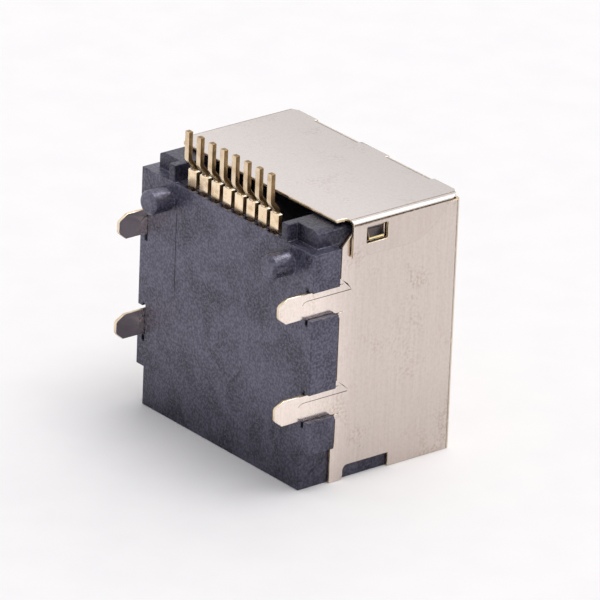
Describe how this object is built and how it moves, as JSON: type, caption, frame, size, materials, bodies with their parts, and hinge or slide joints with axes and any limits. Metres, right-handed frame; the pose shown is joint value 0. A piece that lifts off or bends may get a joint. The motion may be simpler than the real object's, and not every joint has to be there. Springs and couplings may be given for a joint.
{
  "type": "right-angle ethernet jack",
  "caption": "Shielded right-angle network jack: moulded housing with plug cavity, contact carrier, gold contacts and a folded metal shell with solder tabs.",
  "frame": {"origin": "centre of the box that holds the jack, on the plane of the port face on which it stands", "axes": "+X along the contact row, -Y towards the circuit board (the posts and solder tabs point there), +Z from the port face to the rear, where the contact tails leave"},
  "size_m": [0.015, 0.0124, 0.0173],
  "materials": {
    "housing_plastic": "fine-grained black moulded plastic",
    "carrier_plastic": "fine-grained black moulded plastic",
    "contact_gold": "gold-plated stamped strip",
    "shell_metal": "satin nickel-plated sheet"
  },
  "bodies": {
    "root": {"housing": "housing_plastic", "contact_carrier": "carrier_plastic", "contact_1": "contact_gold", "contact_2": "contact_gold", "contact_3": "contact_gold", "contact_4": "contact_gold", "contact_5": "contact_gold", "contact_6": "contact_gold", "contact_7": "contact_gold", "contact_8": "contact_gold", "shell": "shell_metal"}
  },
  "joints": []
}
